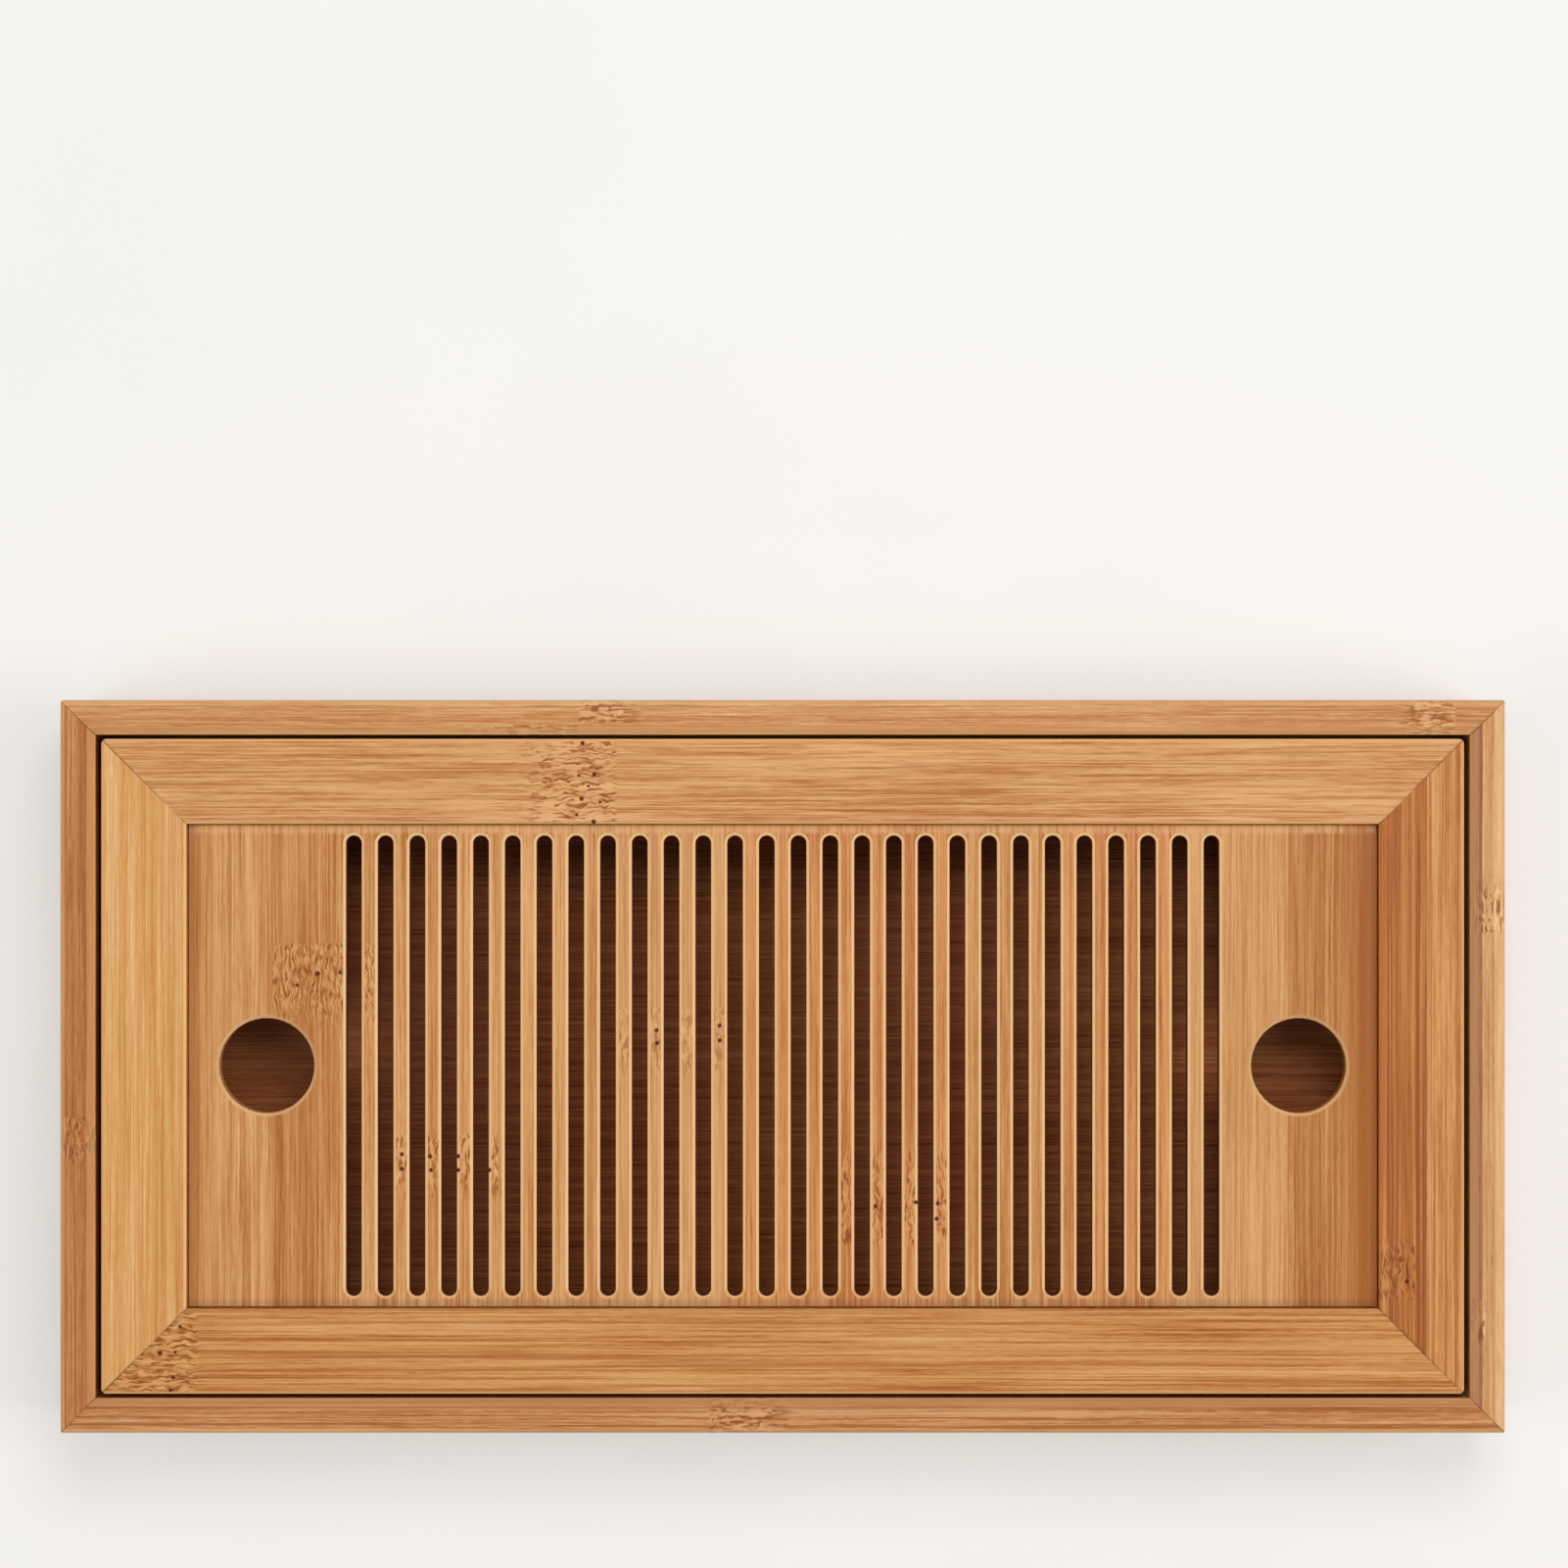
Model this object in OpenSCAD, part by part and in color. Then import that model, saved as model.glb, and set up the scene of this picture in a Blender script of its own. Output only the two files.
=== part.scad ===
// Gongfu tea tray: a mitred bamboo case that catches the water, and a lift-out slotted lid.
// Millimetres. +X runs along the tray, +Y to its back, +Z up.
// The origin is on the table, under the middle of the tray.

/* [Case] */
// Outer length of the case, along X
case_length = 272; // [230:1:320]
// Outer depth of the case, along Y
case_depth = 138; // [110:1:180]
// Height of the wall boards
wall_height = 32.5; // [30:0.5:45]
// Thickness of the wall boards
wall_thickness = 6.5; // [5.5:0.1:9]
// Width of the bevel inside the rim
rim_bevel = 1.5; // [0.5:0.1:2]
// Radius of the rounded outer arris of the rim
rim_round = 1.2; // [0.4:0.1:1.8]
// Radius of the four upright outer corners
case_corner_round = 0.6; // [0.2:0.1:1.5]
// Small chamfer along the lower outer edge of the walls
wall_foot_ease = 0.6; // [0.2:0.1:1.2]

/* [Base board] */
// Thickness of the base board
base_thickness = 5; // [3:0.5:7]
// Depth of the groove in the walls that holds the base board
base_groove_depth = 3; // [1.5:0.5:4]
// Wall left below the groove
base_lip = 2; // [1.5:0.5:4]
// Gap between the base board's edges and the bottom of the groove
base_fit = 0.1; // [0:0.05:0.3]

/* [Feet] */
// Diameter of the round rubber feet
foot_diameter = 14; // [8:0.5:20]
// Height of the walls above the table
foot_stand = 2.5; // [1:0.5:5]
// Distance from the inner wall faces to the middle of each foot
foot_inset = 14; // [11:0.5:30]
// Chamfer round the lower edge of each foot
foot_ease = 0.8; // [0.2:0.1:1.5]

/* [Lid ledges] */
// Width of the ledges that carry the lid
ledge_width = 5; // [3:0.5:8]
// Height of the ledges
ledge_height = 6; // [3:0.5:9]
// Chamfer along the lower inner edge of the ledges
ledge_ease = 1; // [0.3:0.1:2]

/* [Corner splines of the case] */
// Width of each spline across the mitre
case_spline_width = 4.4; // [3:0.2:5]
// Thickness of each spline
case_spline_thickness = 1.6; // [1:0.1:2]
// Height of the wall that stays whole above each spline
case_spline_cover = 7; // [5:0.5:12]

/* [Lid frame] */
// Gap between lid and case at each end
lid_gap_ends = 1.1; // [0.5:0.1:2]
// Gap between lid and case at front and back
lid_gap_sides = 0.8; // [0.5:0.1:2]
// How far the lid's top lies below the rim
lid_drop = 1.2; // [0.5:0.1:3]
// Thickness of the lid frame
lid_thickness = 12; // [10:0.5:15]
// Width of the rails and stiles
lid_member_width = 16; // [12:0.5:20]
// Chamfer along the upper edges of the frame
lid_arris = 0.5; // [0.2:0.1:1]
// Radius of the lid's upright corners
lid_corner_round = 1; // [0.4:0.1:3]

/* [Corner splines of the lid] */
// Thickness of each spline
lid_spline_thickness = 1.6; // [1:0.1:2]
// Width of each spline across the mitre
lid_spline_width = 8; // [5:0.5:10]
// Distance from the lid's outer corner to the spline, along the mitre
lid_spline_start = 5; // [4:0.5:8]
// Length of each spline along the mitre
lid_spline_length = 12; // [6:0.5:14]

/* [Slotted board] */
// Thickness of the slotted board
board_thickness = 5; // [4:0.5:6]
// How far the board lies below the top of the frame
board_recess = 2.4; // [1:0.1:3]
// Thickness of the tongue along the board's lower edges
board_tongue = 3; // [2:0.25:3.5]
// Depth of the groove in the frame that holds the tongue
board_groove_depth = 4; // [2:0.5:6]
// Gap between the tongue's edges and the bottom of the groove
board_fit = 0.1; // [0:0.05:0.3]
// Gap that shows between the board and the frame
board_field_gap = 0.3; // [0.1:0.05:0.6]
// Width of each drain slot
slot_width = 3; // [2:0.1:4]
// Distance from one slot to the next
slot_pitch = 6; // [5:0.1:10]
// Board left between a slot's end and the rail
slot_side_margin = 2.2; // [1.5:0.1:8]
// Least board left between the last slot and the stile
slot_end_margin = 29; // [26:0.5:40]
// Chamfer round the upper edge of each slot
slot_ease = 0.5; // [0.1:0.1:0.8]
// Diameter of the two finger holes
finger_hole_diameter = 18; // [14:0.5:22]
// Chamfer round the upper edge of each finger hole
finger_hole_ease = 0.6; // [0.1:0.1:1]

/* [Joinery] */
// Clearance all round a spline in its pocket
spline_fit = 0.05; // [0:0.01:0.2]

/* [Hidden] */
$fn = 48;

// How far a cutting shape runs past the face it cuts
over = 1;

// Heights above the table
wall_bottom = foot_stand;
wall_top = wall_bottom + wall_height;
base_bottom = wall_bottom + base_lip;
base_top = base_bottom + base_thickness;
lid_top = wall_top - lid_drop;
lid_bottom = lid_top - lid_thickness;
board_top = lid_top - board_recess;
board_bottom = board_top - board_thickness;

// Opening of the case
opening_length = case_length - 2 * wall_thickness;
opening_depth = case_depth - 2 * wall_thickness;

// Lid and the part of the board that shows inside its frame
lid_length = opening_length - 2 * lid_gap_ends;
lid_depth = opening_depth - 2 * lid_gap_sides;
sight_length = lid_length - 2 * lid_member_width;
sight_depth = lid_depth - 2 * lid_member_width;

// Slots and finger holes
slot_count = floor((sight_length - 2 * slot_end_margin - slot_width) / slot_pitch) + 1;
slot_row_length = (slot_count - 1) * slot_pitch;
slot_length = sight_depth - 2 * slot_side_margin;
end_field = (sight_length - slot_row_length - slot_width) / 2;
finger_hole_x = sight_length / 2 - end_field / 2;

// Middle of the case's mitre, measured in from the two outer faces
mitre_middle = wall_thickness / 2;
case_spline_height = wall_top - case_spline_cover - base_top;

// Signs of the corners
left = -1;
right = 1;
front = -1;
back = 1;

// Colours of the bamboo and the rubber
case_colour = [0.76, 0.53, 0.33];
frame_colour = [0.80, 0.58, 0.37];
board_colour = [0.78, 0.55, 0.35];
base_colour = [0.55, 0.34, 0.20];
rubber_colour = [0.14, 0.13, 0.12];

// Puts a piece that faces -Y at the front, and turns it to another side of the tray.
module on_side(turn, half_width) {
  rotate([0, 0, turn])
    translate([0, -half_width, 0])
      children();
}

// Upright block with four rounded corners, centred on the origin.
module rounded_block(length, depth, height, radius) {
  translate([-length / 2, -depth / 2 + radius, 0])
    cube([length, depth - 2 * radius, height]);
  translate([-length / 2 + radius, -depth / 2, 0])
    cube([length - 2 * radius, depth, height]);
  for (x = [-1, 1], y = [-1, 1])
    translate([x * (length / 2 - radius), y * (depth / 2 - radius), 0])
      cylinder(r = radius, h = height);
}

// Bar along X whose outer face is at y = 0, with both ends cut at 45 degrees.
// The child is its section: x runs inwards and y runs up.
module mitred_bar(length, width, height) {
  intersection() {
    translate([-length / 2, 0, 0])
      rotate([90, 0, 90])
        linear_extrude(length)
          children();
    linear_extrude(height)
      polygon([
        [-length / 2, 0],
        [length / 2, 0],
        [length / 2 - width, width],
        [-length / 2 + width, width]
      ]);
  }
}

// Triangle that cuts a chamfer off the corner of a section.
module chamfer_cut(size) {
  polygon([[-over, -over], [size + over, -over], [-over, size + over]]);
}

// Section of a wall board: rounded outer arris, bevelled rim, and the groove for the base.
module wall_section() {
  difference() {
    union() {
      square([wall_thickness, wall_height - rim_round]);
      translate([rim_round, 0])
        square([wall_thickness - rim_round, wall_height]);
      translate([rim_round, wall_height - rim_round])
        circle(r = rim_round);
    }
    translate([wall_thickness, wall_height])
      rotate(180)
        chamfer_cut(rim_bevel);
    chamfer_cut(wall_foot_ease);
    translate([wall_thickness - base_groove_depth, base_lip])
      square([base_groove_depth + over, base_thickness]);
  }
}

// Section of a rail or stile: two eased arrises and the groove for the board's tongue.
module frame_section() {
  difference() {
    square([lid_member_width, lid_thickness]);
    translate([0, lid_thickness])
      rotate(-90)
        chamfer_cut(lid_arris);
    translate([lid_member_width, lid_thickness])
      rotate(180)
        chamfer_cut(lid_arris);
    translate([lid_member_width - board_groove_depth, board_bottom - lid_bottom])
      square([board_groove_depth + over, board_tongue]);
  }
}

// Wall board with its mitres, its rounded corners and its spline pockets.
module wall(turn, length, half_width) {
  color(case_colour)
    difference() {
      intersection() {
        on_side(turn, half_width)
          translate([0, 0, wall_bottom])
            mitred_bar(length, wall_thickness, wall_height)
              wall_section();
        translate([0, 0, wall_bottom])
          rounded_block(case_length, case_depth, wall_height, case_corner_round);
      }
      for (x = [left, right], y = [front, back])
        case_spline_shape(x, y, spline_fit);
    }
}

module case_front_wall() {
  wall(0, case_length, case_depth / 2);
}

module case_back_wall() {
  wall(180, case_length, case_depth / 2);
}

module case_left_wall() {
  wall(270, case_depth, case_length / 2);
}

module case_right_wall() {
  wall(90, case_depth, case_length / 2);
}

// Base board, held in the grooves of the four walls.
module case_base_board() {
  reach = 2 * (base_groove_depth - base_fit);
  color(base_colour)
    translate([-(opening_length + reach) / 2, -(opening_depth + reach) / 2, base_bottom])
      cube([opening_length + reach, opening_depth + reach, base_thickness]);
}

// Flat key that stands across a mitre of the case, grown by a clearance for its pocket.
module case_spline_shape(x, y, clearance) {
  width = case_spline_width + 2 * clearance;
  thickness = case_spline_thickness + 2 * clearance;
  translate([
    x * (case_length / 2 - mitre_middle),
    y * (case_depth / 2 - mitre_middle),
    base_top
  ])
    rotate([0, 0, -x * y * 45])
      translate([-width / 2, -thickness / 2, 0])
        cube([width, thickness, case_spline_height + clearance]);
}

module case_spline(x, y) {
  color(base_colour)
    case_spline_shape(x, y, 0);
}

// Ledge glued along a wall, with its top where the lid rests.
module ledge(turn, length, half_width) {
  color(case_colour)
    on_side(turn, half_width)
      translate([-length / 2, 0, lid_bottom - ledge_height])
        rotate([90, 0, 90])
          linear_extrude(length)
            difference() {
              square([ledge_width, ledge_height]);
              translate([ledge_width, 0])
                rotate(90)
                  chamfer_cut(ledge_ease);
            }
}

module ledge_front() {
  ledge(0, opening_length, opening_depth / 2);
}

module ledge_back() {
  ledge(180, opening_length, opening_depth / 2);
}

module ledge_left() {
  ledge(270, opening_depth - 2 * ledge_width, opening_length / 2);
}

module ledge_right() {
  ledge(90, opening_depth - 2 * ledge_width, opening_length / 2);
}

// Rubber foot, stuck under the base board and standing on the table.
module foot(x, y) {
  color(rubber_colour)
    translate([x * (opening_length / 2 - foot_inset), y * (opening_depth / 2 - foot_inset), 0]) {
      cylinder(d1 = foot_diameter - 2 * foot_ease, d2 = foot_diameter, h = foot_ease);
      translate([0, 0, foot_ease])
        cylinder(d = foot_diameter, h = base_bottom - foot_ease);
    }
}

// Rail or stile of the lid with its mitres, rounded corners and spline pockets.
module frame_member(turn, length, half_width) {
  color(frame_colour)
    difference() {
      intersection() {
        on_side(turn, half_width)
          translate([0, 0, lid_bottom])
            mitred_bar(length, lid_member_width, lid_thickness)
              frame_section();
        translate([0, 0, lid_bottom])
          rounded_block(lid_length, lid_depth, lid_thickness, lid_corner_round);
      }
      for (x = [left, right], y = [front, back])
        lid_spline_shape(x, y, spline_fit);
    }
}

module lid_front_rail() {
  frame_member(0, lid_length, lid_depth / 2);
}

module lid_back_rail() {
  frame_member(180, lid_length, lid_depth / 2);
}

module lid_left_stile() {
  frame_member(270, lid_depth, lid_length / 2);
}

module lid_right_stile() {
  frame_member(90, lid_depth, lid_length / 2);
}

// Flat key that lies across a mitre of the lid, under the groove for the board.
module lid_spline_shape(x, y, clearance) {
  below_board = board_bottom - lid_bottom;
  length = lid_spline_length + 2 * clearance;
  width = lid_spline_width + 2 * clearance;
  thickness = lid_spline_thickness + 2 * clearance;
  translate([x * lid_length / 2, y * lid_depth / 2, lid_bottom + below_board / 2])
    rotate([0, 0, atan2(-y, -x)])
      translate([lid_spline_start - clearance, -width / 2, -thickness / 2])
        cube([length, width, thickness]);
}

module lid_spline(x, y) {
  color(base_colour)
    lid_spline_shape(x, y, 0);
}

// One drain slot with round ends and a chamfer round its upper edge.
module slot_cut() {
  straight = slot_length - slot_width;
  translate([0, 0, board_bottom - over])
    linear_extrude(board_thickness + 2 * over) {
      translate([-slot_width / 2, -straight / 2])
        square([slot_width, straight]);
      for (end = [-1, 1])
        translate([0, end * straight / 2])
          circle(d = slot_width);
    }
  translate([0, straight / 2, board_top])
    rotate([90, 0, 0])
      linear_extrude(straight)
        polygon([
          [-slot_width / 2 - slot_ease - over, over],
          [-slot_width / 2, -slot_ease],
          [slot_width / 2, -slot_ease],
          [slot_width / 2 + slot_ease + over, over]
        ]);
  for (end = [-1, 1])
    translate([0, end * straight / 2, board_top - slot_ease])
      cylinder(d1 = slot_width, d2 = slot_width + 2 * (slot_ease + over), h = slot_ease + over);
}

module finger_hole_cut() {
  translate([0, 0, board_bottom - over])
    cylinder(d = finger_hole_diameter, h = board_thickness + 2 * over);
  translate([0, 0, board_top - finger_hole_ease])
    cylinder(
      d1 = finger_hole_diameter,
      d2 = finger_hole_diameter + 2 * (finger_hole_ease + over),
      h = finger_hole_ease + over
    );
}

// Slotted board with its two finger holes, held by its tongue in the grooves of the lid frame.
module lid_slotted_board() {
  tongue_length = sight_length + 2 * (board_groove_depth - board_fit);
  tongue_depth = sight_depth + 2 * (board_groove_depth - board_fit);
  field_length = sight_length - 2 * board_field_gap;
  field_depth = sight_depth - 2 * board_field_gap;
  color(board_colour)
    difference() {
      union() {
        translate([-tongue_length / 2, -tongue_depth / 2, board_bottom])
          cube([tongue_length, tongue_depth, board_tongue]);
        translate([-field_length / 2, -field_depth / 2, board_bottom])
          cube([field_length, field_depth, board_thickness]);
      }
      for (i = [0 : slot_count - 1])
        translate([i * slot_pitch - slot_row_length / 2, 0, 0])
          slot_cut();
      for (side = [left, right])
        translate([side * finger_hole_x, 0, 0])
          finger_hole_cut();
    }
}

case_front_wall();
case_back_wall();
case_left_wall();
case_right_wall();
case_base_board();
ledge_front();
ledge_back();
ledge_left();
ledge_right();
case_spline(left, front);  // case_spline_front_left
case_spline(right, front);  // case_spline_front_right
case_spline(left, back);  // case_spline_back_left
case_spline(right, back);  // case_spline_back_right
foot(left, front);  // foot_front_left
foot(right, front);  // foot_front_right
foot(left, back);  // foot_back_left
foot(right, back);  // foot_back_right
lid_front_rail();
lid_back_rail();
lid_left_stile();
lid_right_stile();
lid_slotted_board();
lid_spline(left, front);  // lid_spline_front_left
lid_spline(right, front);  // lid_spline_front_right
lid_spline(left, back);  // lid_spline_back_left
lid_spline(right, back);  // lid_spline_back_right
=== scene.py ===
# Finish, light and camera for a bamboo gongfu tea tray.
# Metres, in the tray's own frame: +X along it, +Y to its back edge, +Z up from the table.
# Places and widths in the bamboo are in millimetres.
import math
import bpy
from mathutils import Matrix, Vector


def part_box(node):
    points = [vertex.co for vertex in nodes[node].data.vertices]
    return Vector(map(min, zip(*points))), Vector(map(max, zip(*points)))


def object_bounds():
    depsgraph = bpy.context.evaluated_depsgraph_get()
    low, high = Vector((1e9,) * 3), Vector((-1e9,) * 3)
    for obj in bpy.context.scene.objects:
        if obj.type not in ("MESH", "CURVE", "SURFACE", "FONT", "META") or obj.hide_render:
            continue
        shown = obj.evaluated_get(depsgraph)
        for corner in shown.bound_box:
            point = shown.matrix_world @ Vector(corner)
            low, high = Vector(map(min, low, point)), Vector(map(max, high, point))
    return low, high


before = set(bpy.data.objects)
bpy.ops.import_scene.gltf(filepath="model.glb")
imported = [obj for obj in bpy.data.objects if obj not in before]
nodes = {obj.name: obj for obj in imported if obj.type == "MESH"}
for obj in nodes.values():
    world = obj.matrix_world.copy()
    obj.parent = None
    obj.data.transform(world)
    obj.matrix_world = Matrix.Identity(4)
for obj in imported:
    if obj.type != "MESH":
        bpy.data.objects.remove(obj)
cad_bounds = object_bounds()

MM = 0.001
RELIEF = 0.1 * MM


# Shader maths

class Value:
    """A number that varies over a surface. Sums and products of it add Math nodes."""

    def __init__(self, finish, socket):
        self.finish = finish
        self.socket = socket

    def math(self, operation, *others):
        """One Math node, with this value as its first input."""
        return self.finish.math(operation, self, *others)

    def __add__(self, other):
        return self.math("ADD", other)

    def __radd__(self, other):
        return self.math("ADD", other)

    def __sub__(self, other):
        return self.math("SUBTRACT", other)

    def __rsub__(self, other):
        return self.finish.math("SUBTRACT", other, self)

    def __mul__(self, other):
        return self.math("MULTIPLY", other)

    def __rmul__(self, other):
        return self.math("MULTIPLY", other)

    def __truediv__(self, other):
        return self.math("DIVIDE", other)

    def __abs__(self):
        return self.math("ABSOLUTE")

    def floor(self):
        return self.math("FLOOR")

    def at_least(self, other):
        return self.math("MAXIMUM", other)

    def rise(self, low, high):
        """0 below low, 1 above high, and a smooth step between them."""
        made = self.finish.node(
            "ShaderNodeMapRange",
            {"interpolation_type": "SMOOTHSTEP"},
            {"Value": self, "From Min": low, "From Max": high},
        )
        return Value(self.finish, made.outputs["Result"])

    def fall(self, low, high):
        """1 below low, 0 above high, and a smooth step between them."""
        return 1 - self.rise(low, high)

    def within(self, low, high, soft):
        """1 between low and high, with soft edges that lie outside them."""
        return self.rise(low - soft, low) * self.fall(high, high + soft)


class Nodes:
    """A node tree, and short ways to add to it."""

    def __init__(self, tree):
        self.tree = tree

    def plug(self, socket, value):
        """Links a value into a socket, or sets the socket to a plain number or colour."""
        if isinstance(value, Value):
            self.tree.links.new(value.socket, socket)
        elif isinstance(value, bpy.types.NodeSocket):
            self.tree.links.new(value, socket)
        else:
            socket.default_value = value

    def node(self, kind, settings=None, inputs=None):
        """Adds a node: its settings first, then a number, a colour or a link for each socket."""
        made = self.tree.nodes.new(kind)
        for key, value in (settings or {}).items():
            if key == "stops":
                self.set_stops(made.color_ramp, value)
            else:
                setattr(made, key, value)
        for key, value in (inputs or {}).items():
            self.plug(made.inputs[key], value)
        return made

    @staticmethod
    def set_stops(ramp, stops):
        """Gives a colour ramp its stops, each a place and a colour."""
        while len(ramp.elements) < len(stops):
            ramp.elements.new(1.0)
        for element, (place, colour) in zip(ramp.elements, stops):
            element.position = place
            element.color = colour

    def math(self, operation, *values):
        made = self.node("ShaderNodeMath", {"operation": operation}, dict(enumerate(values)))
        return Value(self, made.outputs[0])

    def split(self, vector):
        """The three numbers of a vector."""
        made = self.node("ShaderNodeSeparateXYZ", {}, {0: vector})
        return [Value(self, out) for out in made.outputs]

    def point(self, x, y, z):
        return self.node("ShaderNodeCombineXYZ", {}, {0: x, 1: y, 2: z}).outputs[0]

    def apart(self, first, second):
        """How far one point is from another."""
        made = self.node("ShaderNodeVectorMath", {"operation": "DISTANCE"}, {0: first, 1: second})
        return Value(self, made.outputs["Value"])

    def noise(self, x, y, z, detail=2.0, roughness=0.5):
        """Smooth noise from about 0.3 to 0.7, with a period of 1 in each coordinate."""
        sizes = {"Scale": 1.0, "Detail": detail, "Roughness": roughness}
        made = self.node("ShaderNodeTexNoise", {}, {"Vector": self.point(x, y, z), **sizes})
        return Value(self, made.outputs[0])

    def chance(self, number):
        """A random value from 0 to 1 for each whole number."""
        made = self.node("ShaderNodeTexWhiteNoise", {"noise_dimensions": "1D"}, {"W": number})
        return Value(self, made.outputs["Value"])

    def mix(self, share, first, second, blend="MIX"):
        """A colour that goes from the first to the second as the share goes from 0 to 1."""
        settings = {"data_type": "RGBA", "blend_type": blend}
        return self.node("ShaderNodeMix", settings, {0: share, 6: first, 7: second}).outputs[2]

    def ramp(self, value, *stops):
        return self.node("ShaderNodeValToRGB", {"stops": stops}, {0: value}).outputs[0]

    def bump(self, height, strength):
        sizes = {"Strength": strength, "Distance": RELIEF}
        return self.node("ShaderNodeBump", {}, {"Height": height, **sizes}).outputs["Normal"]

    def seen(self):
        """1 where the camera sees a surface, also in a mirror or through glass, else 0."""
        rays = self.node("ShaderNodeLightPath").outputs
        kinds = [Value(self, rays[f"Is {kind} Ray"]) for kind in ("Camera", "Glossy", "Transmission")]
        return kinds[0].at_least(kinds[1]).at_least(kinds[2])


class Finish(Nodes):
    """One material's nodes, ending in its Principled shader."""

    def __init__(self, name):
        self.material = bpy.data.materials.new(name)
        self.material.use_nodes = True
        super().__init__(self.material.node_tree)
        self.shader = self.tree.nodes["Principled BSDF"]
        place = self.node("ShaderNodeTexCoord")
        self.x, self.y, self.z = self.split(place.outputs["Object"])
        self.facing_z = self.split(place.outputs["Normal"])[2]

    def even_noise(self, waves, detail=2.0):
        """Noise that is the same size each way, with so many waves to the metre."""
        return self.noise(self.x * waves, self.y * waves, self.z * waves, detail)

    def coat(self, **sockets):
        """Sets or links the shader's sockets, named with underscores for spaces."""
        for name, value in sockets.items():
            self.plug(self.shader.inputs[name.replace("_", " ")], value)
        return self.material


def tone(code):
    """A colour written as six hexadecimal digits, turned into the linear numbers of a shader."""
    parts = [int(code[i:i + 2], 16) / 255 for i in (0, 2, 4)]
    linear = [p / 12.92 if p <= 0.04045 else ((p + 0.055) / 1.055) ** 2.4 for p in parts]
    return (*linear, 1.0)


# Bamboo

VARNISH = {"Coat_Weight": 0.08, "Coat_Roughness": 0.3, "Specular_IOR_Level": 0.25}
VARNISH_SHEEN = 0.02
LEAST_TONE = 0.002
PORE = (0.075, 0.006, 0.0, 1.0)
SPECK = tone("7c3c12")
# Pale edges: wear with a painted highlight
ARRIS = tone("fdc88a")
JOINT = tone("8a5228")
MITRE = tone("4e2406")

# How fine each part of the grain is, in waves to the millimetre along and across the fibres
DRIFT = (0.02, 0.1)
WIDE_BAND = (0.004, 0.5)
LONG_LINE = (0.007, 1.5)
STREAK = (0.008, 1.3)
THREAD = (0.03, 3.0)
HAIR = (0.05, 6.0)
SHORT_DASH = (0.08, 2.6)
WAVE = (0.35, 0.5)
SPOT = (0.35, 2.6)
FLECK = (0.45, 2.6)

# Levels of the noise between which each kind of mark fades in
DARK_LINES = (0.53, 0.61)
DARK_DASHES = (0.55, 0.66)
PALE_LINES = (0.38, 0.46)
PALE_DASHES = (0.34, 0.44)
DARK_FLECKS = (0.4, 0.47)
PALE_FLECKS = (0.52, 0.6)
SPECKS = (0.34, 0.4)

# How much each part of the grain shifts the tone
BAND_CONTRAST = 1.7
STRIP_CONTRAST = 0.4
DRIFT_CONTRAST = 0.8
HAIR_CONTRAST = 0.8
THREAD_CONTRAST = 1.4
SPOT_CONTRAST = 0.55

# How much of their colour the marks take on
PALE_SHARE = 0.75
DARK_FLECK_SHARE = 0.9
PALE_FLECK_SHARE = 0.6
SPECK_SHARE = 0.6
JOINT_SHARE = 0.3

# What the marks add to the relief and to the roughness
GROOVE = 0.5
HAIR_RELIEF = 0.5
FLECK_GROOVE = 0.4
PORE_DEPTH = 0.3
WOOD_BUMP = 0.2
PLAIN_ROUGHNESS = 0.42
HAIR_ROUGHNESS = 0.3
DRIFT_ROUGHNESS = 0.4
GROOVE_ROUGHNESS = 0.1

# How far apart the grain of two strips lies, and how far the fibres wander
STRIP_SHIFT = 13.7
KNUCKLE_BEND = 2.0
FIBRE_BEND = 0.25

# Edges of the marks. A knuckle's ends are given as shares of its length, a pore's edge as
# shares of its radius, and a pale edge, worn and with a painted highlight, by how far its face
# looks up.
KNUCKLE_START = (-0.45, 0.25)
KNUCKLE_END = (0.96, 1.06)
KNUCKLE_SIDE = 0.15
KNUCKLE_DEPTH = 0.6
PORE_EDGE = (0.6, 1.35)
JOINT_EDGE = (0.03, 0.16)
STREAK_EDGE = (0.38, 0.6)
ARRIS_FACING = (0.35, 0.92, 0.05)
MITRE_EDGE = (0.05, 0.22)
MITRE_WAVES = 90
MITRE_GAPS = (0.3, 0.6)


def wood(code):
    """A tone as it renders under the varnish, less what the varnish itself reflects."""
    red, green, blue, alpha = tone(code)
    return (*(max(c - VARNISH_SHEEN, LEAST_TONE) for c in (red, green, blue)), alpha)


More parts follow.
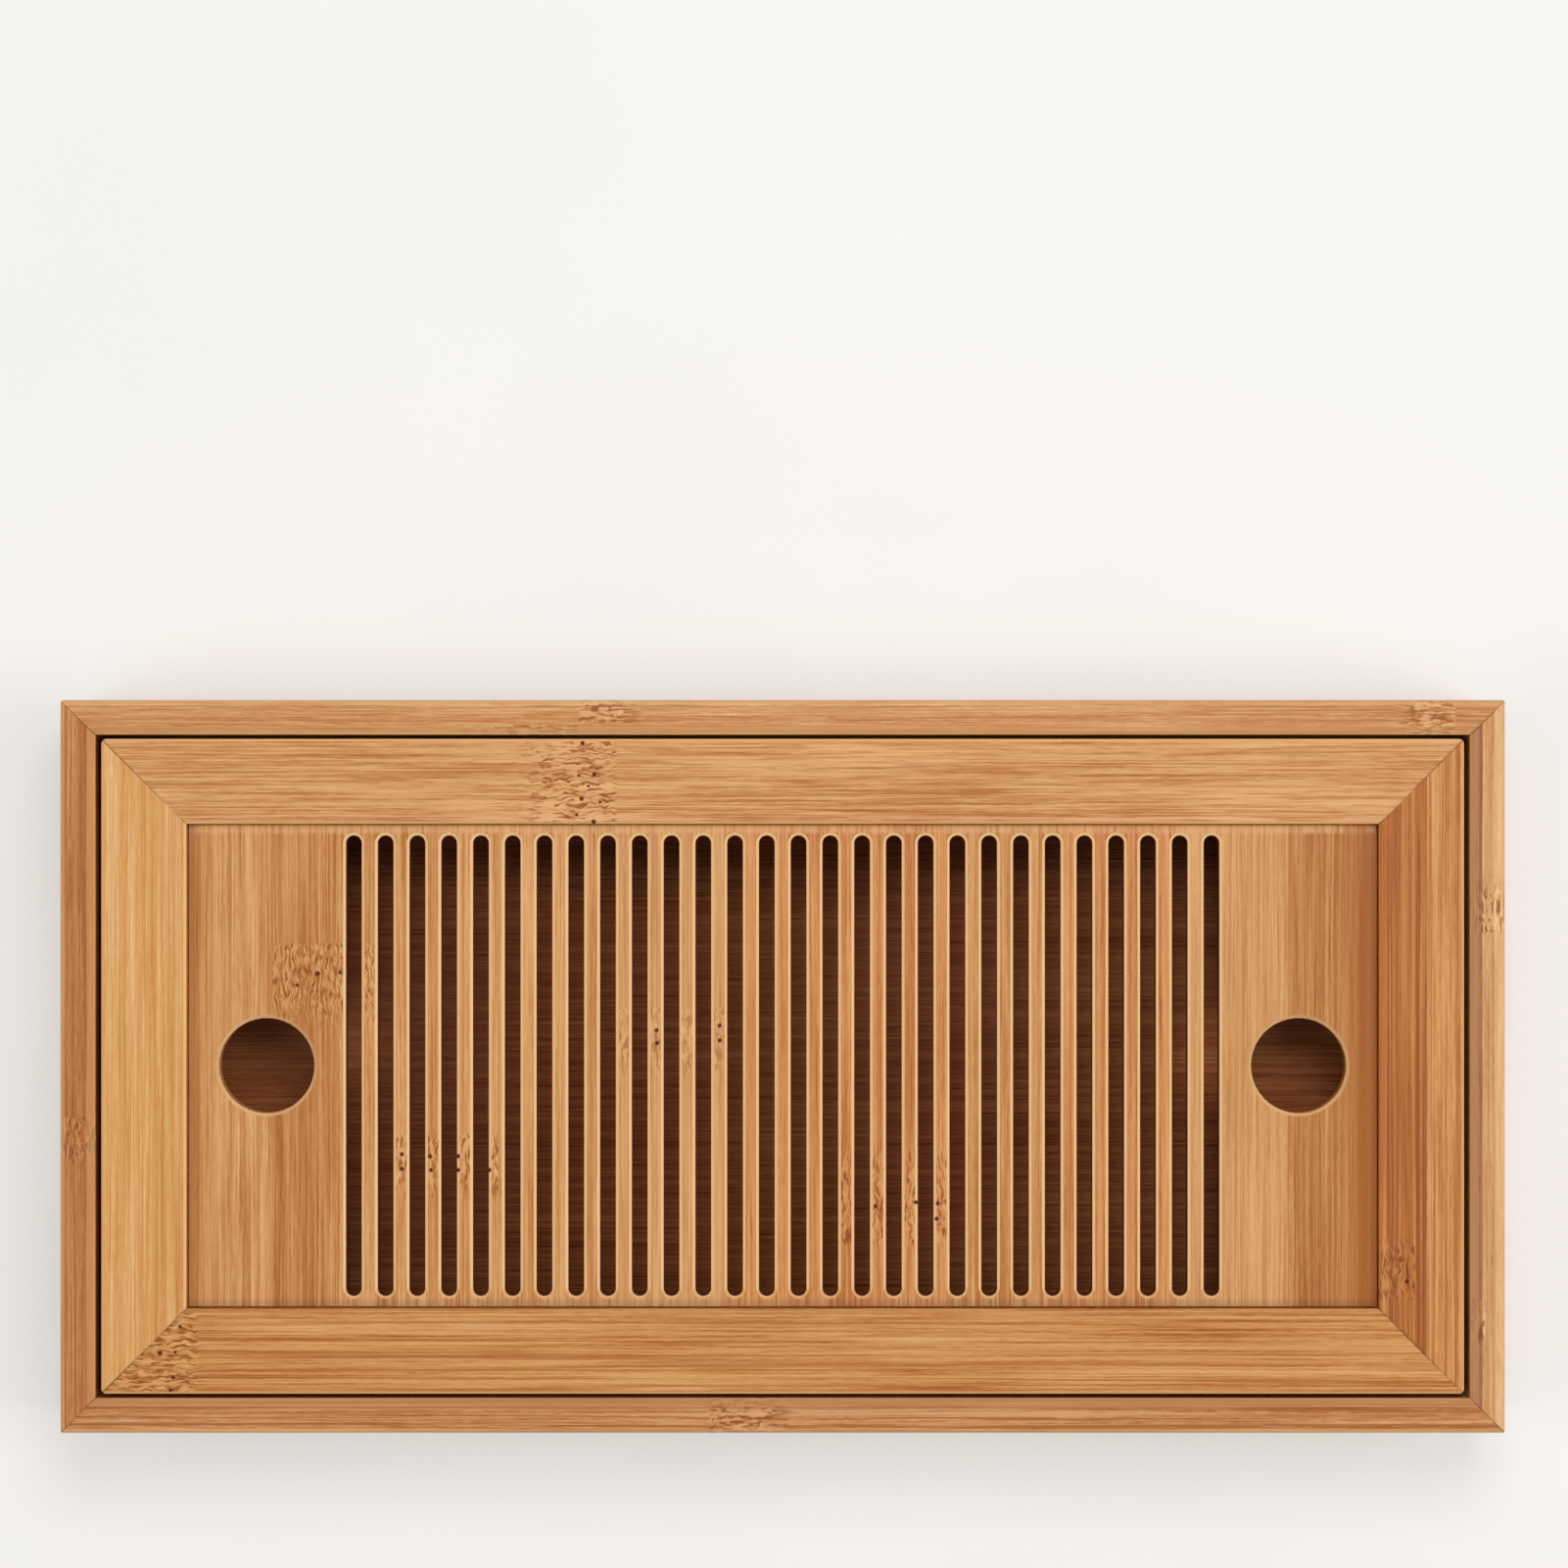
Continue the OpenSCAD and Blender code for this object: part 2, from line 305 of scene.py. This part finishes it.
class Bamboo:
    """A laminated bamboo board: strips glued side by side, with fibres and knuckle marks."""

    def __init__(self, name, axes, tones, seed, fleck_size=1.0):
        """The axes are the letters of the board's direction along and across its fibres."""
        self.finish = Finish(name)
        directions = {"x": self.finish.x, "y": self.finish.y, "z": self.finish.z}
        self.along, self.across = (directions.pop(axis) / MM for axis in axes)
        self.through = directions.popitem()[1] / MM
        self.dark, self.middle, self.light = (wood(code) for code in tones)
        self.seed = seed
        self.fleck_size = fleck_size
        self.knuckle = 0.0
        self.pores = None

    def grain(self, waves, across, deep, detail=1.0, roughness=0.5):
        """Noise that is drawn out along the fibres."""
        along_waves, across_waves = waves
        return self.finish.noise(
            self.along * along_waves, across * across_waves, deep * across_waves, detail, roughness
        )

    def set_knuckles(self, marks):
        """Zones of short wavy marks. Each fades in at its start and ends sharply at its end.

        The last two numbers, where they are given, are its limits through the board."""
        for start, end, low, high, *depth in marks:
            travel = (self.along - start) / (end - start)
            zone = travel.rise(*KNUCKLE_START) * travel.fall(*KNUCKLE_END)
            zone = zone * self.across.within(low, high, KNUCKLE_SIDE)
            if depth:
                zone = zone * self.through.within(*depth, KNUCKLE_DEPTH)
            self.knuckle = zone.at_least(self.knuckle)

    def set_pores(self, dots):
        """Dark round pores of the size that bamboo has at its knuckles."""
        for along, across, radius in dots:
            here = self.finish.point(self.along, self.across, 0.0)
            apart = self.finish.apart(here, (along, across, 0.0))
            dot = apart.fall(radius * PORE_EDGE[0], radius * PORE_EDGE[1])
            self.pores = dot if self.pores is None else self.pores.at_least(dot)

    def paint(self, strips, bands, lines, dashes):
        """Lays the strips, their fibres and the knuckles into one colour.

        The strips are given by the place of a joint and their width. Bands are soft and run
        the whole length, lines are fine and long, dashes are short."""
        finish = self.finish
        joint_place, strip_width = strips
        place = (self.across - joint_place) / strip_width
        strip = place.floor()
        to_joint = (0.5 - abs(place - strip - 0.5)) * strip_width
        deep = self.through + strip * STRIP_SHIFT + self.seed

        wave = self.grain(WAVE, self.across, deep, 2.0) - 0.5
        bent = self.across + wave * (self.knuckle * KNUCKLE_BEND + FIBRE_BEND)
        wide = self.grain(WIDE_BAND, self.across, deep, 3.0, 0.6)
        long = self.grain(LONG_LINE, bent, deep, 2.0, 0.6)
        short = self.grain(SHORT_DASH, bent, deep)
        fleck = self.grain([waves / self.fleck_size for waves in FLECK], bent, deep)
        drift = self.grain(DRIFT, self.across, deep, 2.0)
        hair = self.grain(HAIR, bent, deep)
        thread = self.grain(THREAD, bent, deep)
        spot = self.grain(SPOT, bent, deep)
        shade = finish.chance(strip + self.seed)

        level = 0.5 + ((wide - 0.5) + (long - 0.5)) * (BAND_CONTRAST * bands)
        level = level + (shade - 0.5) * (STRIP_CONTRAST * bands)
        level = level + (drift - 0.5) * DRIFT_CONTRAST + (hair - 0.5) * HAIR_CONTRAST
        level = level + (thread - 0.5) * THREAD_CONTRAST + (spot - 0.5) * SPOT_CONTRAST
        colour = finish.ramp(level, (0.0, self.dark), (0.5, self.middle), (1.0, self.light))

        dark = (long.rise(*DARK_LINES) * lines).at_least(short.rise(*DARK_DASHES) * dashes)
        pale = (long.fall(*PALE_LINES) * lines).at_least(short.fall(*PALE_DASHES) * dashes)
        dark_fleck = fleck.fall(*DARK_FLECKS) * self.knuckle
        pale_fleck = fleck.rise(*PALE_FLECKS) * self.knuckle
        speck = fleck.fall(*SPECKS) * self.knuckle
        for share, mark in (
            (dark, self.dark),
            (pale * PALE_SHARE, self.light),
            (dark_fleck * DARK_FLECK_SHARE, self.dark),
            (speck * SPECK_SHARE, SPECK),
            (pale_fleck * PALE_FLECK_SHARE, self.light),
            (to_joint.fall(*JOINT_EDGE) * JOINT_SHARE, JOINT),
        ):
            colour = finish.mix(share, colour, mark)
        self.colour = colour

        self.height = (1 - dark) * GROOVE + hair * HAIR_RELIEF - dark_fleck * FLECK_GROOVE
        if self.pores is not None:
            self.height = self.height - self.pores * PORE_DEPTH
            hair = hair + self.pores
        dull = (hair - 0.5) * HAIR_ROUGHNESS + (drift - 0.5) * DRIFT_ROUGHNESS
        self.roughness = PLAIN_ROUGHNESS + dull + dark * GROOVE_ROUGHNESS

    def streaks(self):
        """Long uneven streaks along the fibres, from 0 to 1."""
        along_waves, across_waves = STREAK
        deep = self.through * across_waves + self.seed
        streak = self.finish.noise(self.along * along_waves, self.across * across_waves, deep)
        return streak.rise(*STREAK_EDGE)

    def blend(self, share, colour):
        """Covers the board with another colour where the share is high."""
        self.colour = self.finish.mix(share, self.colour, colour)

    def tint(self, share, colour):
        """Deepens the board's tone where the share is high, with its fibres kept."""
        self.colour = self.finish.mix(share, self.colour, colour, "MULTIPLY")

    def pale_and_highlit_arrises(self, share, colour=ARRIS):
        """Sanded edges, paler than the faces beside them: partly wear, partly a painted highlight."""
        self.blend(self.finish.facing_z.within(*ARRIS_FACING) * share, colour)

    def mitre_lines(self, half_length, half_depth, share):
        """A fine dark glue line where two mitred pieces meet."""
        run_x = half_length - abs(self.finish.x)
        run_y = half_depth - abs(self.finish.y)
        apart = abs(run_x - run_y) / (math.sqrt(2) * MM)
        uneven = self.finish.even_noise(MITRE_WAVES).rise(*MITRE_GAPS)
        self.blend(apart.fall(*MITRE_EDGE) * uneven * share, MITRE)

    def done(self, **sockets):
        """The finished material. The pores are laid last, over every tint."""
        if self.pores is not None:
            self.blend(self.pores, PORE)
        relief = self.finish.bump(self.height, WOOD_BUMP)
        return self.finish.coat(
            Base_Color=self.colour, Roughness=self.roughness, Normal=relief, **{**VARNISH, **sockets}
        )


def dress(material, *names):
    """Gives CAD nodes their material."""
    for name in names:
        for slot in nodes[name].material_slots:
            slot.material = material


def half_sizes(name_along, name_across):
    """Half the length of one node and half the depth of another, seen from above."""
    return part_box(name_along)[1][0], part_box(name_across)[1][1]


# Case: each wall's tones from dark to light, the strength of its bands, lines and dashes, its
# knuckles (start, end, lowest, highest) and its pores (place along, place across, radius). The
# bands are darker strips in its top: start and end through the wall, and the tint. The bands at
# the rims' inner bevels and the front wall's outer band are painted shade; the right wall's
# second band is a darker tone of its wood.

WALLS = {
    "case_front_wall": {
        "axes": "xz",
        "tones": ("9c5c2c", "c78a57", "dcaa7a"),
        "seed": 3.0,
        "grain": (0.4, 0.8, 0.35),
        "knuckles": [(-1.7, -13.7, 14.0, 36.0), (70.0, 81.0, 0.0, 14.0)],
        "pores": [(-6.0, 25.0, 0.4), (74.0, 8.0, 0.4)],
        "bands": [(-64.2, -62.0, (0.7, 0.54, 0.48, 1.0)), (-69.4, -68.7, (0.9, 0.78, 0.7, 1.0))],
    },
    "case_back_wall": {
        "axes": "xz",
        "tones": ("ac6834", "cf9661", "e4b381"),
        "seed": 10.0,
        "grain": (0.6, 0.5, 0.5),
        "knuckles": [
            (-56.0, -38.6, 14.0, 36.0, 60.0, 64.0), (-29.4, -38.2, 14.0, 36.0, 65.0, 70.0),
            (118.0, 126.5, 14.0, 36.0), (20.0, 9.0, 0.0, 14.0),
        ],
        "pores": [(-34.0, 22.0, 0.4), (121.0, 29.0, 0.4)],
        "bands": [],
    },
    "case_left_wall": {
        "axes": "yz",
        "tones": ("975526", "bb7c48", "d19862"),
        "seed": 17.0,
        "grain": (0.6, 0.6, 0.3),
        "knuckles": [(-17.0, -9.6, 14.0, 36.0), (38.0, 47.0, 0.0, 14.0)],
        "pores": [(-13.0, 21.0, 0.4)],
        "bands": [(-131.5, -130.2, (0.84, 0.72, 0.7, 1.0))],
    },
    "case_right_wall": {
        "axes": "yz",
        "tones": ("bb7d4a", "e2ac7c", "f0c898"),
        "seed": 24.0,
        "grain": (0.5, 0.5, 0.3),
        "knuckles": [(33.0, 25.4, 14.0, 36.0), (-52.0, -44.0, 14.0, 36.0, 129.0, 132.0)],
        "pores": [(30.0, 20.0, 0.4)],
        "bands": [(129.0, 131.5, (0.5, 0.34, 0.27, 1.0)), (132.2, 133.7, (0.82, 0.74, 0.58, 1.0))],
        "side_tint": (0.87, 0.78, 0.64, 1.0),
    },
}
WALL_STRIPS = (-6.0, 20.0)
WALL_FLECK_SIZE = 1.5
WALL_ARRIS = 0.3
CASE_MITRE = 0.6
FACING_UP = (0.4, 0.7)
BAND_SOFTNESS = 0.35
CASE_HALF = half_sizes("case_front_wall", "case_left_wall")

for name, wall in WALLS.items():
    board = Bamboo(name, wall["axes"], wall["tones"], wall["seed"], WALL_FLECK_SIZE)
    board.set_knuckles(wall["knuckles"])
    board.set_pores(wall["pores"])
    board.paint(WALL_STRIPS, *wall["grain"])
    on_top = board.finish.facing_z.rise(*FACING_UP)
    # Painted shade on the rims' inner bevels and the front wall's outer edge; the right wall's second
    # band is a tone
    for start, end, tint in wall["bands"]:
        board.tint(board.through.within(start, end, BAND_SOFTNESS) * on_top, tint)
    if "side_tint" in wall:
        board.tint(1 - on_top, wall["side_tint"])
    board.pale_and_highlit_arrises(WALL_ARRIS)
    board.mitre_lines(*CASE_HALF, CASE_MITRE)
    dress(board.done(), name)


# Lid frame: as above, with the place of a joint and the width of its strips. The tinted band
# starts and ends across the member, and the inner arris shows paler by the share given, a
# painted highlight that is set for each member by how the light falls on its inner edge.

FRAME = {
    "lid_back_rail": {
        "axes": "xy",
        "tones": ("ab672f", "d39b66", "e4b37e"),
        "seed": 51.0,
        "strips": (40.0, 40.0),
        "inner_highlight": 0.5,
        "grain": (0.2, 0.2, 0.55),
        "knuckles": [(-46.0, -31.6, 45.0, 62.0)],
        "pores": [
            (-37.7, 60.9, 0.42), (-35.5, 55.0, 0.42), (-38.4, 54.8, 0.3), (-36.6, 52.8, 0.28),
            (-37.9, 50.4, 0.42), (-35.6, 46.1, 0.45), (-38.8, 47.4, 0.3), (-34.4, 49.8, 0.3),
        ],
    },
    "lid_front_rail": {
        "axes": "xy",
        "tones": ("9e5a1c", "c98c50", "dca970"),
        "seed": 60.0,
        "fleck_size": 1.25,
        "strips": (-80.0, 40.0),
        "inner_highlight": 0.0,
        "grain": (0.2, 0.7, 0.25),
        "knuckles": [(-125.0, -110.5, -62.0, -45.0)],
        "pores": [
            (-117.3, -54.0, 0.45), (-114.4, -53.8, 0.3), (-114.8, -58.6, 0.4),
            (-115.3, -61.0, 0.35), (-113.5, -49.0, 0.35),
        ],
    },
    "lid_left_stile": {
        "axes": "yx",
        "tones": ("c98a45", "dda86c", "eec792"),
        "seed": 69.0,
        "strips": (-150.0, 40.0),
        "inner_highlight": 0.8,
        "grain": (1.0, 0.35, 0.1),
        "knuckles": [(70.0, 80.0, -130.0, -110.0)],
        "pores": [],
        "tinted": (-117.0, -113.0, (0.9, 0.84, 0.7, 1.0)),
    },
    "lid_right_stile": {
        "axes": "yx",
        "tones": ("a8662e", "cf9157", "e2aa70"),
        "seed": 78.0,
        "strips": (82.2, 40.0),
        "inner_highlight": 0.1,
        "grain": (0.7, 0.85, 0.2),
        "knuckles": [(-34.5, -43.7, 112.0, 119.0)],
        "pores": [(-40.5, 117.6, 0.42)],
        "tinted": (112.0, 121.0, (0.66, 0.42, 0.18, 1.0)),
    },
}
OUTER_ARRIS = 0.7
LID_MITRE = 0.75
TINT_SOFTNESS = 0.6
LEAST_TINT = 0.6
STREAKY_TINT = 0.6
LID_HALF = half_sizes("lid_front_rail", "lid_left_stile")

# How far the middle line of the rails and of the stiles lies from the middle of the tray
MEMBER_MIDDLES = {"xy": 53.7, "yx": 120.4}

for name, member in FRAME.items():
    fleck_size = member.get("fleck_size", 1.0)
    board = Bamboo(name, member["axes"], member["tones"], member["seed"], fleck_size)
    board.set_knuckles(member["knuckles"])
    board.set_pores(member["pores"])
    board.paint(member["strips"], *member["grain"])
    if "tinted" in member:
        start, end, tint = member["tinted"]
        uneven = LEAST_TINT + board.streaks() * STREAKY_TINT
        board.tint(board.across.within(start, end, TINT_SOFTNESS) * uneven, tint)
    middle = MEMBER_MIDDLES[member["axes"]]
    inner = abs(board.across).fall(middle - 1, middle + 1)
    board.pale_and_highlit_arrises(OUTER_ARRIS + inner * (member["inner_highlight"] - OUTER_ARRIS))
    board.mitre_lines(*LID_HALF, LID_MITRE)
    dress(board.done(), name)


# Slotted board: its strips run from the back of the tray to the front, side by side along it

BOARD_TONES = ("a9672f", "cd935d", "e3b27a")
BOARD_STRIPS = (-96.3, 21.3)
BOARD_KNUCKLES = [
    (10.6, 23.0, -96.3, -75.0),
    (-23.0, -13.2, -75.0, -53.7),
    (0.0, 10.7, -32.4, -11.1),
    (-18.8, -33.5, 10.2, 31.5),
]
BOARD_PORES = [
    (17.4, -87.8, 0.5), (15.2, -91.7, 0.32), (17.6, -83.6, 0.32),
    (-16.7, -71.9, 0.42), (-19.5, -71.9, 0.42), (-17.1, -66.6, 0.45), (-19.7, -66.4, 0.42),
    (-17.1, -61.3, 0.42), (-19.7, -61.3, 0.42), (-19.7, -55.4, 0.42),
    (6.7, -23.8, 0.42), (4.3, -23.7, 0.42), (7.6, -11.9, 0.42), (4.8, -11.9, 0.42),
    (-26.0, 29.3, 0.42), (-28.9, 29.1, 0.42), (-25.8, 25.2, 0.38), (-26.5, 17.5, 0.38),
]
BOARD_GRAIN = (0.45, 0.6, 0.2)
BOARD_FLECK_SIZE = 0.95

# Strips of other tones: start and end across the board
ORANGE_STRIPS = ((-11.1, 31.5), (52.8, 74.1))
ORANGE_TINT = (0.965, 0.82, 0.72, 1.0)
PALE_STRIPS = ((-32.4, -11.1), (74.1, 95.4))
PALE_STRIP_SHARE = 0.25
STRIP_SOFTNESS = 0.1
LEFT_STRIP = (-96.2, -85.5)
LEFT_STRIP_SOFTNESS = 1.5
LEFT_TINT = (0.93, 0.85, 0.76, 1.0)
BROWN_STRIP_EDGE = (95.4, 98.4)
BROWN_TINT = (0.81, 0.69, 0.53, 1.0)

# The edges beside the frame, with painted shade by the stiles and the front rail and painted light
# along the back rail: where each fades in, and how much of it there is
RIGHT_SHADE = (103.0, 111.0)
RIGHT_SHADE_SHARE = 0.5
LEFT_SHADE = (-111.0, -104.0)
LEFT_SHADE_SHARE = 0.3
RIGHT_EDGE_SHADE = (105.5, 110.5)
RIGHT_EDGE_SHADE_SHARE = 0.45
LEFT_EDGE_SHADE = (-110.6, -109.8)
LEFT_EDGE_SHADE_SHARE = 0.35
EDGE_SHADE_TONE = wood("96541f")
BACK_EDGE = (43.4, 44.5)
BACK_EDGE_LIGHT_SHARE = 0.25
BACK_EDGE_STREAKS = 0.45
FRONT_EDGE = (-44.8, -43.6)
FRONT_EDGE_SHADE = (0.78, 0.83, 0.87, 1.0)

# Slots and gap
SLOTS_END = (86.0, 86.5)
SLOT_FRONT_ENDS = (-43.0, -41.5)
# The slots' pale edges: wear with a painted highlight
SLOT_ARRIS = tone("ffcf95")
DULL_ARRIS = 0.5
WALL_FACING = (0.1, 0.3)
BURNT = wood("5a2410")
BURNT_SHARE = 0.85
BURNT_ROUGHNESS = 0.4
FIELD_HALF = (111.5 * MM, 45.0 * MM)
FIELD_SOFTNESS = 0.2 * MM
TONGUE_TOP = (31.1, 31.3)
# Painted light for the tongue and the field's sides in the dark gap round the board
GAP_PAINTED_LIGHT = tone("ffb066")

board = Bamboo("slotted_board", "yx", BOARD_TONES, 91.0, BOARD_FLECK_SIZE)
board.set_knuckles(BOARD_KNUCKLES)
board.set_pores(BOARD_PORES)
board.paint(BOARD_STRIPS, *BOARD_GRAIN)

for start, end in ORANGE_STRIPS:
    board.tint(board.across.within(start, end, STRIP_SOFTNESS), ORANGE_TINT)
for start, end in PALE_STRIPS:
    pale_strip = board.across.within(start, end, STRIP_SOFTNESS)
    board.blend(pale_strip * PALE_STRIP_SHARE, board.light)
board.tint(board.across.within(*LEFT_STRIP, LEFT_STRIP_SOFTNESS), LEFT_TINT)
board.tint(board.across.rise(*BROWN_STRIP_EDGE), BROWN_TINT)

# Painted shade towards the stiles and the front rail; painted light along the back rail, with pale
# streaks in it
board.blend(board.across.rise(*RIGHT_SHADE) * RIGHT_SHADE_SHARE, board.dark)
board.blend(board.across.fall(*LEFT_SHADE) * LEFT_SHADE_SHARE, board.dark)
back_light_and_streaks = BACK_EDGE_LIGHT_SHARE + board.streaks() * BACK_EDGE_STREAKS
board.blend(board.along.rise(*BACK_EDGE) * back_light_and_streaks, board.light)
board.tint(board.along.fall(*FRONT_EDGE), FRONT_EDGE_SHADE)

# Slot walls, darkened and roughened by the cutter
past_end = abs(board.finish.x).rise(FIELD_HALF[0], FIELD_HALF[0] + FIELD_SOFTNESS)
past_side = abs(board.finish.y).rise(FIELD_HALF[1], FIELD_HALF[1] + FIELD_SOFTNESS)
past_field = past_end.at_least(past_side)
side_wall = abs(board.finish.facing_z).fall(*WALL_FACING)
slot_wall = side_wall * (1 - past_field) * abs(board.across).fall(*SLOTS_END)
board.blend(slot_wall * BURNT_SHARE, BURNT)
board.roughness = board.roughness + slot_wall * BURNT_ROUGHNESS

# Pale edges, partly sanded wear and partly painted highlight, with less painted highlight at the slots'
# front ends and at the finger holes
dull_arris = abs(board.across).rise(*SLOTS_END).at_least(board.along.fall(*SLOT_FRONT_ENDS))
board.pale_and_highlit_arrises(1 - dull_arris * DULL_ARRIS, SLOT_ARRIS)

# Painted shade along the edges beside the stiles, and painted light on the tongue and the field's sides
# in the gap round the board
left_edge_shade = board.across.fall(*LEFT_EDGE_SHADE) * LEFT_EDGE_SHADE_SHARE
right_edge_shade = board.across.rise(*RIGHT_EDGE_SHADE) * RIGHT_EDGE_SHADE_SHARE
board.blend(left_edge_shade.at_least(right_edge_shade), EDGE_SHADE_TONE)
tongue = past_field * board.through.fall(*TONGUE_TOP)
board.blend(tongue.at_least(past_field * side_wall), GAP_PAINTED_LIGHT)
board_coat = VARNISH["Coat_Weight"] - slot_wall * VARNISH["Coat_Weight"]
dress(board.done(Coat_Weight=board_coat), "lid_slotted_board")


# Base board, ledges and splines, all without varnish

BASE_TONES = ("824626", "ac6843", "bf8054")
BASE_STRIPS = (0.0, 20.0)
BASE_GRAIN = (0.5, 0.5, 0.3)
BASE_SPECULAR = 0.1
# The ledges are darkened as painted shade, so the gap round the lid reads dark from above
LEDGE_SHADE_TONES = ("4c2a14", "6e4526", "8c5c38")
LEDGE_STRIPS = (0.0, 40.0)
SPLINE_TONES = ("7a4522", "b07a48", "cb9764")
SPLINE_STRIPS = (0.0, 400.0)
INNER_GRAIN = (0.6, 0.5, 0.3)

board = Bamboo("base_board", "xy", BASE_TONES, 131.0)
board.set_knuckles([(-126.0, -115.0, -20.0, 0.0), (88.0, 100.0, 20.0, 40.0)])
board.set_pores([(-120.0, -8.0, 0.4)])
board.paint(BASE_STRIPS, *BASE_GRAIN)
dress(board.done(Coat_Weight=0.0, Specular_IOR_Level=BASE_SPECULAR), "case_base_board")

for along, names in {"x": ("ledge_front", "ledge_back"), "y": ("ledge_left", "ledge_right")}.items():
    board = Bamboo("ledge_" + along, along + "z", LEDGE_SHADE_TONES, 151.0)
    board.paint(LEDGE_STRIPS, *INNER_GRAIN)
    dress(board.done(Coat_Weight=0.0), *names)

board = Bamboo("spline", "zx", SPLINE_TONES, 171.0)
board.paint(SPLINE_STRIPS, *INNER_GRAIN)
dress(board.done(Coat_Weight=0.0), *(name for name in nodes if "_spline_" in name))


# Rubber feet

# Waves to the metre, the range of the noise in which the dust fades in, and roughness
PIMPLE_WAVES = 900
PIMPLE_BUMP = 0.35
PIMPLE_ROUGHNESS = 0.4
DUST_WAVES = 120
DUST_EDGE = (0.42, 0.68)
RUBBER_ROUGHNESS = 0.62

rubber = Finish("foot_rubber")
pimples = rubber.even_noise(PIMPLE_WAVES, 3.0)
dust = rubber.even_noise(DUST_WAVES).rise(*DUST_EDGE)
dress(
    rubber.coat(
        Base_Color=rubber.mix(dust, tone("1c1a18"), tone("383430")),
        Roughness=RUBBER_ROUGHNESS + (pimples - 0.5) * PIMPLE_ROUGHNESS,
        Normal=rubber.bump(pimples, PIMPLE_BUMP),
    ),
    *(name for name in nodes if name.startswith("foot_")),
)


# Table, light and camera

TABLE_HALF = 6.0
CLOUD_WAVES = 9
CLOUD_EDGE = (0.35, 0.65)
NEAR_COVER = 0.4
FAR_COVER = 1.0

# In square metres: squares of the distance from the tray's middle
COVER_FADE = (0.1, 2.0)

table_mesh = bpy.data.meshes.new("table")
table_corners = [(x * TABLE_HALF, y * TABLE_HALF, 0.0) for x, y in ((-1, -1), (1, -1), (1, 1), (-1, 1))]
table_mesh.from_pydata(table_corners, [], [(0, 1, 2, 3)])
table = bpy.data.objects.new("table", table_mesh)
bpy.context.scene.collection.objects.link(table)

# White to the camera, more so far from the tray, where the lamps don't reach
paper = Finish("table")
clouds = paper.noise(paper.x * CLOUD_WAVES, paper.y * CLOUD_WAVES, paper.z, 3.0).rise(*CLOUD_EDGE)
table.data.materials.append(
    paper.coat(
        Base_Color=paper.mix(clouds, tone("f2f1ef"), tone("f6f5f3")),
        Roughness=0.8,
        Specular_IOR_Level=0.2,
    )
)
far = (paper.x * paper.x + paper.y * paper.y).rise(*COVER_FADE)
cover = paper.seen() * (NEAR_COVER + far * (FAR_COVER - NEAR_COVER))
glow = paper.node("ShaderNodeEmission", {}, {"Color": tone("f9f8f6"), "Strength": 1.0})
covered = paper.node(
    "ShaderNodeMixShader", {}, {0: cover, 1: paper.shader.outputs[0], 2: glow.outputs[0]}
)
paper.plug(paper.tree.nodes["Material Output"].inputs["Surface"], covered.outputs[0])

# Soft square lamps that shine at the tray: place, size, watts and colour
LAMPS = {
    "key": ((0.1, 0.45, 1.1), 0.45, 4.55, (1.0, 0.99, 0.97)),
    "right": ((0.75, -0.05, 1.0), 0.5, 4.0, (1.0, 0.99, 0.97)),
    "left": ((-0.7, -0.1, 0.95), 0.5, 2.35, (1.0, 1.0, 1.0)),
}
TRAY_MIDDLE = Vector((0.0, 0.0, 0.03))

for name, (place, size, watts, colour) in LAMPS.items():
    lamp_data = bpy.data.lights.new(name, "AREA")
    lamp_data.size = size
    lamp_data.energy = watts
    lamp_data.color = colour
    lamp = bpy.data.objects.new(name, lamp_data)
    lamp.location = place
    lamp.rotation_euler = (TRAY_MIDDLE - Vector(place)).to_track_quat("-Z", "Y").to_euler()
    bpy.context.scene.collection.objects.link(lamp)

WORLD_LIGHT = 0.385
WORLD_SEEN = 0.92

world = bpy.data.worlds.new("studio")
bpy.context.scene.world = world
world.use_nodes = True
sky = Nodes(world.node_tree)
backdrop = sky.tree.nodes["Background"]
sky.plug(backdrop.inputs["Color"], (1.0, 1.0, 1.0, 1.0))
sky.plug(backdrop.inputs["Strength"], WORLD_LIGHT + sky.seen() * (WORLD_SEEN - WORLD_LIGHT))

# The photograph looks straight down, with the tray below the middle of the picture
PICTURE_WIDTH = 0.295
CAMERA_ABOVE_RIM = 1.0
CAMERA_AT = (0.00025, 0.0532)
SENSOR = 36.0

camera_data = bpy.data.cameras.new("camera")
camera_data.sensor_width = SENSOR
camera_data.lens = SENSOR * CAMERA_ABOVE_RIM / PICTURE_WIDTH
camera = bpy.data.objects.new("camera", camera_data)
camera.location = (*CAMERA_AT, cad_bounds[1][2] + CAMERA_ABOVE_RIM)
bpy.context.scene.collection.objects.link(camera)
bpy.context.scene.camera = camera
bpy.context.scene.view_settings.view_transform = "Standard"
